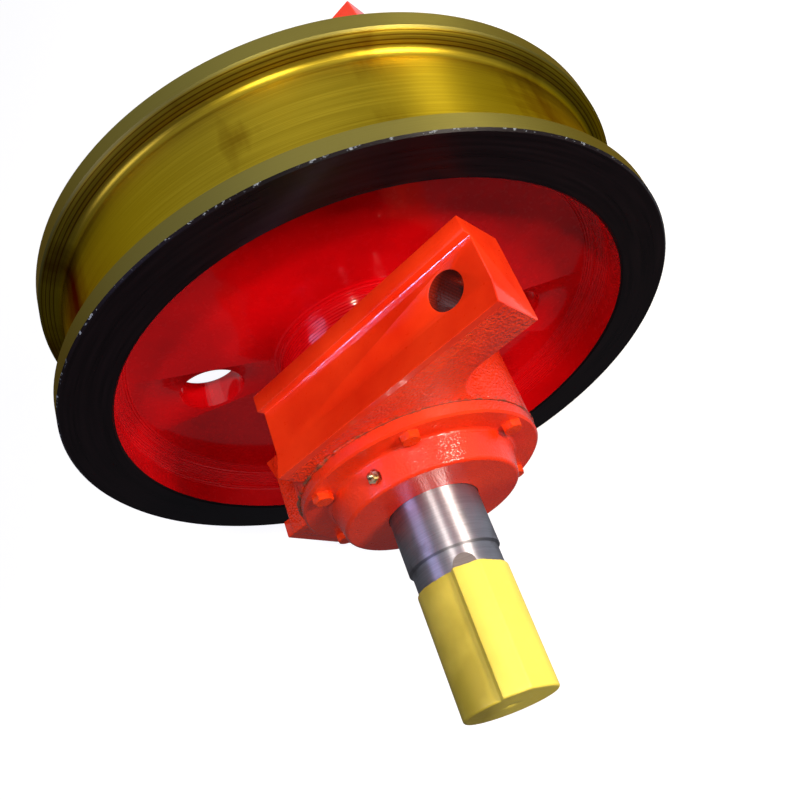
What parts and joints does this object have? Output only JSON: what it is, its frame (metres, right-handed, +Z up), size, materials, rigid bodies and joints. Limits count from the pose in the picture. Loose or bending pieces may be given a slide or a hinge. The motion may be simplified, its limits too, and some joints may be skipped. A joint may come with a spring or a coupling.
{
  "type": "crane wheel block",
  "caption": "Double flanged crane travel wheel on a keyed drive axle, carried on both sides by L shaped roller bearing boxes with troughed seats and bolted covers.",
  "frame": {"origin": "centre of the wheel on the axle's axis", "axes": "+Y along the axle away from the drive end, +Z up out of the upper seats, -X out of the side seats"},
  "size_m": [0.64, 0.657, 0.64],
  "materials": {
    "wheel_enamel": "gloss red enamel on the web and hub, black rim sides, varnished tread",
    "box_paint": "orange red paint over rough casting",
    "bolt_paint": "orange red paint",
    "ground_steel": "ground",
    "key_steel": "ground",
    "turned_steel": "turned",
    "bearing_steel": "ground",
    "cage_brass": "machined",
    "nipple_brass": "worn",
    "gasket_paper": "oiled paper",
    "felt": "felt",
    "yellow_film": "soft gloss peelable coating"
  },
  "bodies": {
    "near_block": {"near_housing": "box_paint", "near_outer_ring": "bearing_steel", "near_cover": "box_paint", "near_cover_gasket": "gasket_paper", "near_cover_bolts": "bolt_paint", "near_outer_felt": "felt", "near_nipple": "nipple_brass", "near_inner_cover": "box_paint", "near_inner_gasket": "gasket_paper", "near_inner_bolts": "bolt_paint", "near_inner_felt": "felt"},
    "rotor": {"wheel": "wheel_enamel", "axle": "ground_steel", "wheel_key": "key_steel", "drive_key": "key_steel", "shaft_cap": "yellow_film", "near_inner_ring": "bearing_steel", "near_spacer": "turned_steel", "near_lock_washer": "turned_steel", "near_lock_nut": "turned_steel", "far_inner_ring": "bearing_steel", "far_spacer": "turned_steel", "far_lock_washer": "turned_steel", "far_lock_nut": "turned_steel"},
    "near_roller_set": {"near_rollers": "bearing_steel", "near_cage": "cage_brass"},
    "far_block": {"far_housing": "box_paint", "far_outer_ring": "bearing_steel", "far_cover": "box_paint", "far_cover_gasket": "gasket_paper", "far_cover_bolts": "bolt_paint", "far_nipple": "nipple_brass", "far_inner_cover": "box_paint", "far_inner_gasket": "gasket_paper", "far_inner_bolts": "bolt_paint", "far_inner_felt": "felt"},
    "far_roller_set": {"far_rollers": "bearing_steel", "far_cage": "cage_brass"}
  },
  "joints": [
    {"name": "wheel_spin", "type": "hinge", "parent": "near_block", "child": "rotor", "pos_m": [0, 0, 0], "axis": [0, 1, 0], "continuous": true},
    {"name": "near_cage_spin", "type": "hinge", "parent": "near_block", "child": "near_roller_set", "pos_m": [0, 0, 0], "axis": [0, 1, 0], "continuous": true},
    {"name": "far_block_turn", "type": "hinge", "parent": "rotor", "child": "far_block", "pos_m": [0, 0, 0], "axis": [0, 1, 0], "continuous": true},
    {"name": "far_cage_spin", "type": "hinge", "parent": "rotor", "child": "far_roller_set", "pos_m": [0, 0, 0], "axis": [0, 1, 0], "continuous": true}
  ],
  "couplings": [
    {"joint": "near_cage_spin", "follows": "wheel_spin", "ratio": 0.4248},
    {"joint": "far_block_turn", "follows": "wheel_spin", "ratio": -1},
    {"joint": "far_cage_spin", "follows": "wheel_spin", "ratio": -0.5752}
  ]
}
